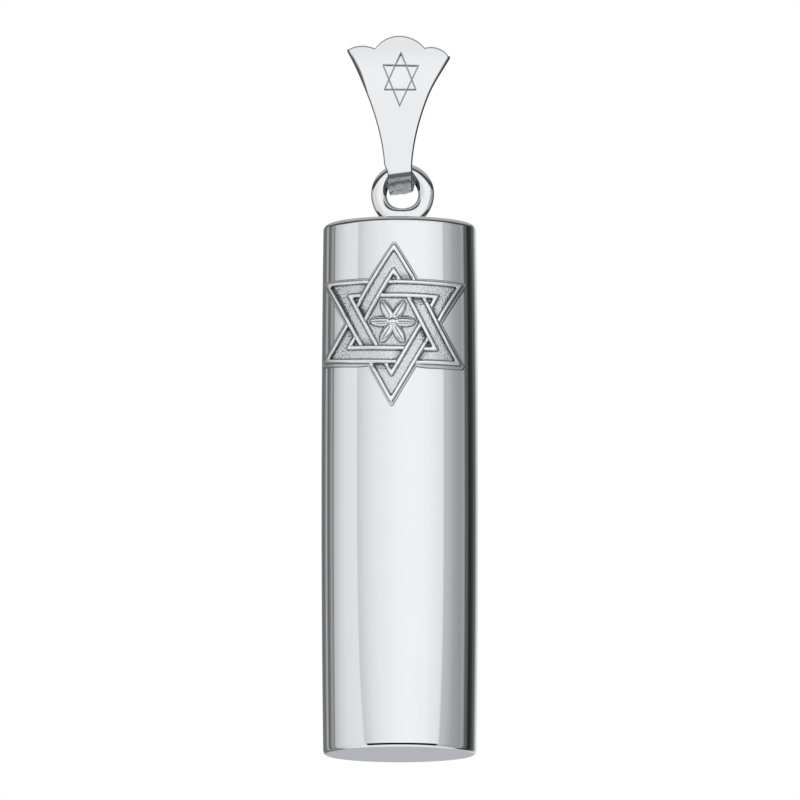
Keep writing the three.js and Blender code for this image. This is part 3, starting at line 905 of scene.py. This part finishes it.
def round_tips(x, z, triangles, tip):
    """Rounds the six tips: drops the triangles beyond an arc, and pulls stray points onto it."""
    radius = 0.16 * MM
    centre = tip - 2 * radius

    def beyond(along, across):
        return (along > radius / 2) & (np.hypot(along, across) > radius)

    for angle in np.radians(range(30, 390, 60)):
        along, across = turned(x, z, angle)
        along = along - centre
        gone = beyond(along[triangles].mean(axis=1), across[triangles].mean(axis=1))
        triangles = triangles[~gone]
        pull = radius / np.maximum(np.hypot(along, across), radius)
        pulled_x, pulled_z = turned(along * pull + centre, across * pull, -angle)
        stray = beyond(along, across)
        x = np.where(stray, pulled_x, x)
        z = np.where(stray, pulled_z, z)
    return x, z, triangles


def warped(x, z):
    """The irregular shape of a cast star: tips that droop, lean and curl, and a roll of the whole."""
    side = (x / STAR_RADIUS) ** 2
    side_at_tips = 1 / 1.33  # which lie at 0.87 of the radius
    level = STAR_RADIUS / 2
    curl = by_side(x, STAR_LIFTS) * side * unit(-z / level)
    margin = unit((-z - level) / STAR_MARGIN) * smoothstep(np.abs(x), 1.2 * MM, 2.4 * MM)
    droop = STAR_DROOP * np.abs(z / STAR_RADIUS) ** 3
    spread = STAR_SPREAD * np.sin(math.pi * z / STAR_RADIUS)
    moved_z = z - droop + spread + curl - STAR_LOW_MARGIN * margin
    return turned(x - STAR_SKEW * side / side_at_tips, moved_z, -STAR_ROLL)


def star():
    """The star as a fine triangular lattice, whose lines run along its bands, laid on the tube."""
    plate_reach = STAR_RADIUS / 2 + STAR_MARGIN
    cell = plate_reach / STAR_CELLS * 2 / math.sqrt(3)
    span = 2 * STAR_CELLS + 3
    i, j = np.meshgrid(np.arange(-span, span + 1), np.arange(-span, span + 1), indexing="ij")
    x = cell * (i + j / 2)
    z = cell * j * math.sqrt(3) / 2
    relief, darkness = star_relief(x, z)
    # Painted shade: darker where a place lies below its blurred surroundings
    occlusion_shade = unit((blurred(relief) - relief) / STAR_SHADE_DEPTH)
    shade_and_tone = unit(darkness + STAR_SHADE * occlusion_shade * (darkness > 0))
    x, z, triangles = round_tips(x.ravel(), z.ravel(), lattice_triangles(i, j), 2 * plate_reach)
    used, triangles = np.unique(triangles, return_inverse=True)
    triangles = triangles.reshape(-1, 3)
    x, z, relief, shade_and_tone = (field.ravel()[used] for field in (x, z, relief, shade_and_tone))
    count = len(used)

    edges = np.vstack([triangles[:, [0, 1]], triangles[:, [1, 2]], triangles[:, [2, 0]]])
    keys = np.sort(edges, axis=1)
    _, first, times = np.unique(keys, axis=0, return_index=True, return_counts=True)
    rim = edges[first[times == 1]]
    on_rim = np.zeros(count, bool)
    on_rim[rim.ravel()] = True
    relief = np.where(on_rim, relief - STAR_RIM_FALL, relief)
    # Painted shade: a dark line round the rim, where the plate meets the tube
    shade_and_tone = np.where(on_rim, STAR_SHADE, shade_and_tone)

    x, z = warped(x, z)
    front = -np.sqrt((CASE_RADIUS + STAR_FLOOR + relief) ** 2 - x**2)
    back = -np.sqrt((CASE_RADIUS - STAR_BEDDED) ** 2 - x**2)
    vertices = np.vstack([np.column_stack([x, y, z + STAR_Z]) for y in (front, back)])
    faces = triangles.tolist()
    faces += (triangles[:, ::-1] + count).tolist()
    faces += [(b, a, a + count, b + count) for a, b in rim.tolist()]
    made = mesh_object("interlaced_star", vertices, faces, STAR_SILVER, sharp_degrees=75)
    shade_points(made, "shade_and_tone", np.concatenate([shade_and_tone, np.ones(count)]))
    placed(made, "case", "star_emblem")


# ---- Friction sleeve ----
def friction_sleeve():
    """A short tube with four slots down from its top, whose fingers spring outwards."""
    slots = 4
    per_finger = 40
    band_rows = 4
    slot_half_angle = 0.2 * MM / BORE_RADIUS
    spring = 0.03 * MM
    slot_foot = sleeve_low.z + 1 * MM
    top = sleeve_high.z
    band = np.linspace(sleeve_low.z, slot_foot, band_rows + 1)
    levels = [*band, *np.linspace(slot_foot, top, 10)[1:]]
    angles = []
    solid = []
    for k in range(slots):
        middle = math.pi / 4 + k * math.pi / 2
        finger = (middle + slot_half_angle, middle + math.pi / 2 - slot_half_angle)
        angles += [middle - slot_half_angle, *np.linspace(*finger, per_finger, endpoint=False)]
        solid += [False] + [True] * per_finger
    columns = len(angles)
    vertices = []
    for radius in (sleeve_high.x, sleeve_high.x - SLEEVE_SHEET):
        for z in levels:
            up = max((z - slot_foot) / (top - slot_foot), 0)
            vertices.extend(around_axis(radius + spring * math.sin(math.pi * up), np.array(angles), z))
    layer = columns * len(levels)

    def filled(row, column):
        if row < 0 or row >= len(levels) - 1:
            return False
        return row < band_rows or solid[column % columns]

    faces = []
    for row in range(len(levels) - 1):
        for column in range(columns):
            if not filled(row, column):
                continue
            low = row * columns + column
            low_next = row * columns + (column + 1) % columns
            high = low + columns
            high_next = low_next + columns
            faces.append((low, low_next, high_next, high))
            faces.append((low + layer, high + layer, high_next + layer, low_next + layer))
            walls = {
                (row - 1, column): (low, low + layer, low_next + layer, low_next),
                (row + 1, column): (high, high_next, high_next + layer, high + layer),
                (row, column - 1): (low, high, high + layer, low + layer),
                (row, column + 1): (low_next, low_next + layer, high_next + layer, high_next),
            }
            faces += [wall for neighbour, wall in walls.items() if not filled(*neighbour)]
    made = mesh_object("split_sleeve", vertices, faces, SLEEVE_SILVER)
    placed(made, "base", "friction_sleeve")


# ---- Scroll ----
def scroll():
    """A strip of parchment rolled up, a little uneven at its ends."""
    per_turn = 96
    steps = int(SCROLL_TURNS * per_turn)
    turns = SCROLL_TURNS * np.arange(steps + 1) / steps
    angle = 2 * math.pi * turns
    height = scroll_high.z - scroll_low.z
    rows = 40
    uneven_share = 0.12  # of the height, at each end
    loops = []
    for row in range(rows + 1):
        share = row / rows
        end = 1 - smoothstep(min(share, 1 - share), 0, uneven_share)
        ruffle = 0.012 * MM * np.sin(3.1 * angle + 5 * share) * end
        radius = SCROLL_INNER + SCROLL_PITCH * turns + ruffle
        short = 0.05 * MM * (1 - np.sin(1.7 * angle)) * end
        z = scroll_low.z + height * share + np.copysign(short, 0.5 - share)
        outer = around_axis(radius + SCROLL_SHEET, angle, z)
        inner = around_axis(radius, angle, z)
        loops.append(np.vstack([outer, inner[::-1]]))
    count = 2 * (steps + 1)
    faces = loop_faces(rows + 1, count)
    last = rows * count
    for k in range(steps):
        m = count - 1 - k
        faces.append((k + 1, k, m, m - 1))
        faces.append((last + k, last + k + 1, last + m - 1, last + m))
    made = mesh_object("parchment_roll", np.vstack(loops), faces, PARCHMENT)
    placed(made, "scroll", "scroll")


def swept_tube(line, radius, sides):
    """Vertices and faces of a round tube round a closed line."""
    along = np.roll(line, -1, axis=0) - np.roll(line, 1, axis=0)
    along /= np.linalg.norm(along, axis=1)[:, None]
    first = np.cross(along, (0, 0, 1.0))
    first /= np.linalg.norm(first, axis=1)[:, None]
    second = np.cross(first, along)
    turns = [2 * math.pi * side / sides for side in range(sides)]
    rings = [line + radius * (math.cos(t) * first + math.sin(t) * second) for t in turns]
    return np.stack(rings, axis=1).reshape(-1, 3), loop_faces(len(line), sides, wrap_rows=True)


def thread_line(turn):
    """Radius of the thread's middle, tight on the roll and bridging the step at the sheet's edge."""
    whole_turns = math.floor(SCROLL_TURNS)
    edge = 2 * math.pi * (SCROLL_TURNS - whole_turns)
    layers = whole_turns + turn / (2 * math.pi) - smoothstep(turn, edge, edge + THREAD_BRIDGE)
    return SCROLL_INNER + SCROLL_PITCH * layers + SCROLL_SHEET + THREAD_RADIUS


def scroll_thread():
    """Two plies of cotton twisted together and tied round the roll."""
    plies = 2
    twists = 34
    points = 720
    ply_radius = THREAD_RADIUS * 0.55
    offset = THREAD_RADIUS - ply_radius
    turn = 2 * math.pi * np.arange(points) / points
    vertices = []
    faces = []
    for ply in range(plies):
        twist = twists * turn + ply * math.pi
        z = THREAD_Z + offset * np.sin(twist)
        line = around_axis(thread_line(turn) + offset * np.cos(twist), turn, z)
        ply_vertices, ply_faces = swept_tube(line, ply_radius, 8)
        start = len(vertices)
        vertices.extend(ply_vertices)
        faces += [tuple(start + v for v in f) for f in ply_faces]
    made = mesh_object("tying_thread", vertices, faces, THREAD)
    placed(made, "scroll", "scroll_thread")


# ---- Studio ----
def grey(value):
    """Linear light for a screen grey from 0 to 255."""
    share = value / 255
    return share / 12.92 if share <= 0.04045 else ((share + 0.055) / 1.055) ** 2.4


UNDERSIDE = (174, 176, 180)  # screen red, green and blue of what the flat underside reflects
# Soft boxes and dark flags round the pendant: (degrees from the camera, screen grey).
TO_THE_LEFT = [
    (0, 240), (32, 230), (46, 222), (56, 212), (65.5, 199), (66.6, 225), (78, 222), (88, 220), (98.7, 208),
    (110.8, 188), (113.4, 185), (116.1, 108), (118.9, 153), (121.9, 152), (125, 130), (128.2, 110),
    (131.6, 86), (135.3, 138), (139.4, 175), (144, 130), (149, 102), (155, 106), (163, 118), (171, 135),
    (176, UNDERSIDE), (180, UNDERSIDE),
]
TO_THE_RIGHT = [
    (0, 240), (14, 242), (39, 239), (62.8, 227), (68, 220), (69.5, 186), (75, 185), (81, 176), (88.5, 160),
    (101.9, 147), (109, 158), (111.8, 140), (114.4, 80), (117.2, 97), (120, 88), (123, 52), (129.5, 34),
    (133, 59), (137, 54), (141, 94), (145.8, 88), (151.3, 134), (157.7, 200), (168, 210),
    (176, UNDERSIDE), (180, UNDERSIDE),
]
# A dark ring under a lighter ceiling, which leans away from the camera: (height towards it, grey).
CEILING_LEAN = math.radians(25)
CEILING = [
    (-0.28, 240), (-0.17, 240), (-0.05, 239), (0.07, 235), (0.15, 228), (0.2, 190), (0.25, 110),
    (0.3, 66), (0.6, 66), (0.7, 160), (1, 178),
]
CEILING_EDGE = [(12, 0), (17, 1)]  # share of the ceiling, by degrees of elevation
# Below the horizon, from behind the pendant to the front: (degrees, screen grey).
GROUND = [(-180, 178), (-150, 203), (-100, 230), (0, 228)]
GROUND_EDGE = [(-44, 1), (-38, 0)]  # share of the ground, by degrees of elevation
# Share of the black edge of the table, by degrees to the right and by degrees of elevation.
TABLE_EDGE = [(-55, 0), (-53, 1), (61, 1), (63, 0)]
TABLE_FALL = [(-37, 0), (-34, 1), (-24, 1), (-21, 0)]
TABLE_GREY = 8
# The boxes' inner edges bow inwards above and below: (degrees to the right, 0 left, 1 right, 0.5 none).
BOW = [(-105, 0.5), (-75, 0), (-50, 0), (0, 0.5), (50, 0.85), (75, 0.85), (105, 0.5)]
BOW_MIDDLE = 7.6  # degrees of elevation where they don't
BOW_DEGREES = 0.15  # per degree of elevation to the fourth
BOW_LIMIT = 14  # degrees
SHADE_OF_TUBE = 0.92  # the light is brighter than its grey by what silver takes away


def studio():
    """Rings of light and dark by direction, and plain white where the camera looks past the pendant."""
    world = bpy.data.worlds.new("studio")
    bpy.context.scene.world = world
    world.use_nodes = True
    n = Nodes(world.node_tree)
    direction = n.make("TexCoord").outputs["Generated"]
    to_camera = {"Vector": direction, "Angle": -VIEW_AZIMUTH}
    where = n.make("VectorRotate", to_camera, rotation_type="Z_AXIS").outputs["Vector"]
    parts = n.make("SeparateXYZ", {"Vector": where}).outputs
    toward = n.math("MULTIPLY", parts["Y"], -1.0)

    def ring(angle, stops, shade=grey):
        """A ramp over stops in degrees from -180 to 180, from an angle in radians."""
        share = n.math("MULTIPLY_ADD", angle, 1 / (2 * math.pi), 0.5)
        shaded = []
        for degrees, value in stops:
            light = tuple(map(shade, value)) if isinstance(value, tuple) else shade(value)
            shaded.append((degrees / 360 + 0.5, light))
        return n.ramp(share, shaded)

    around = n.math("ARCTAN2", parts["X"], toward)
    over = n.math("ARCTAN2", parts["Z"], toward)
    elevation = n.math("ARCSINE", parts["Z"])
    from_middle = n.math("MULTIPLY_ADD", elevation, 180 / math.pi, -BOW_MIDDLE)
    bow = n.math("MULTIPLY", n.math("POWER", n.math("ABSOLUTE", from_middle), 4.0), BOW_DEGREES)
    bow = n.math("MULTIPLY", n.math("MINIMUM", bow, BOW_LIMIT), 2 * math.pi / 180)
    side = n.math("SUBTRACT", ring(around, BOW, float), 0.5)
    bowed = n.math("MULTIPLY_ADD", side, bow, around)
    upright = (0, math.sin(CEILING_LEAN), math.cos(CEILING_LEAN))
    lean = n.make("VectorMath", {0: where, 1: upright}, operation="DOT_PRODUCT").outputs["Value"]
    height = n.math("MULTIPLY_ADD", lean, 0.5, 0.5)
    ceiling = n.ramp(height, [(t / 2 + 0.5, grey(g)) for t, g in CEILING])
    from_camera = n.math("ABSOLUTE", bowed)
    is_right = n.math("GREATER_THAN", bowed, 0)
    light = n.mix(is_right, ring(from_camera, TO_THE_LEFT), ring(from_camera, TO_THE_RIGHT))
    light = n.mix(ring(elevation, CEILING_EDGE, float), light, ceiling)
    light = n.mix(ring(elevation, GROUND_EDGE, float), light, ring(over, GROUND))
    table = n.math("MULTIPLY", ring(around, TABLE_EDGE, float), ring(elevation, TABLE_FALL, float))
    light = n.mix(table, light, (grey(TABLE_GREY),) * 3 + (1,))
    seen = n.make("LightPath").outputs["Is Camera Ray"]
    light = n.make("Background", {"Color": light, "Strength": 1 / SHADE_OF_TUBE}).outputs[0]
    backdrop = n.make("Background", {"Color": (1, 1, 1, 1), "Strength": 1.0}).outputs[0]
    shown = n.make("MixShader", {0: seen, 1: light, 2: backdrop})
    n.make("OutputWorld", {"Surface": shown.outputs[0]})


FLOOR_RADIUS = 0.35
FLOOR_Z = -0.16


def floor():
    """A plain pale floor, well below the hanging pendant."""
    material, n = new_material("floor_paper")
    n.surface(n.ramp(n.noise(30, detail=2.0), [(0.3, 0.84), (0.7, 0.86)]), 0.9)
    sides = 96
    rim = around_axis(FLOOR_RADIUS, 2 * math.pi * np.arange(sides) / sides, FLOOR_Z)
    made = mesh_object("pale_floor", rim, [tuple(range(sides))], material)
    made.visible_glossy = False


SENSOR_WIDTH = 36  # millimetres, as Blender counts them


def camera():
    """A long lens a little to the right of the front and a little below."""
    settings = bpy.data.cameras.new("camera")
    settings.sensor_width = SENSOR_WIDTH
    settings.lens = SENSOR_WIDTH * VIEW_DISTANCE / FRAME_WIDTH
    settings.clip_start = 0.01
    made = bpy.data.objects.new("camera", settings)
    cosine = math.cos(VIEW_AZIMUTH)
    sine = math.sin(VIEW_AZIMUTH)
    right = np.array([cosine, sine, 0])
    flat = math.cos(VIEW_ELEVATION)
    away = np.array([sine * flat, -cosine * flat, math.sin(VIEW_ELEVATION)])
    target = np.array([0, 0, FRAME_CENTRE_Z]) + right * FRAME_CENTRE_RIGHT
    made.location = target + away * VIEW_DISTANCE
    made.rotation_euler = (math.pi / 2 - VIEW_ELEVATION, 0, VIEW_AZIMUTH)
    bpy.context.scene.collection.objects.link(made)
    bpy.context.scene.camera = made


camera()
studio()
floor()
case_tube()
top_cap()
base_disc()
hanging_ring()
ring_solder()
bail()
star()
friction_sleeve()
scroll()
scroll_thread()

view = bpy.context.scene.view_settings
view.view_transform = "Standard"
view.look = "None"
